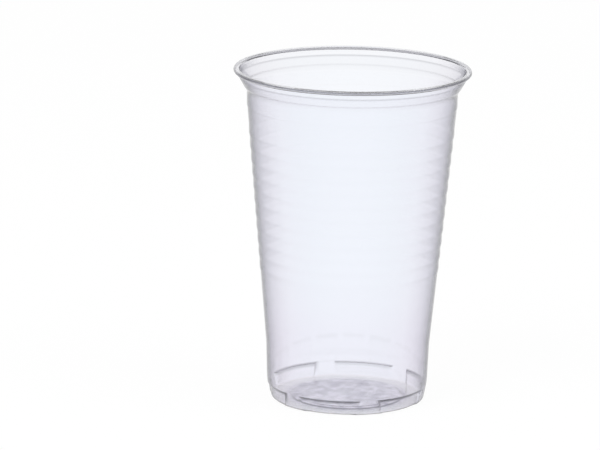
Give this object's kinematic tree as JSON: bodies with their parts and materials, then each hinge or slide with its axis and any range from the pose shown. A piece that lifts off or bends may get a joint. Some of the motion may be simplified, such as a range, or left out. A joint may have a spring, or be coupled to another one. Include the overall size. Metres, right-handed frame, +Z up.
{
  "type": "clear plastic disposable cup",
  "caption": "Thin clear tapered drinking cup formed in one piece, with a rolled lip, flared mouth, fine raised grip rings and stacking ledges pressed in above the foot.",
  "frame": {"origin": "middle of the foot, on the plane that the cup stands on", "axes": "+Z up along the cup's axis, towards the mouth; -Y towards the front of the picture"},
  "size_m": [0.071, 0.071, 0.1005],
  "materials": {
    "clear_plastic": "thin clear glossy plastic film, slightly bluish and faintly hazy, with a frosted floor"
  },
  "bodies": {
    "root": {"cup": "clear_plastic"}
  },
  "joints": []
}
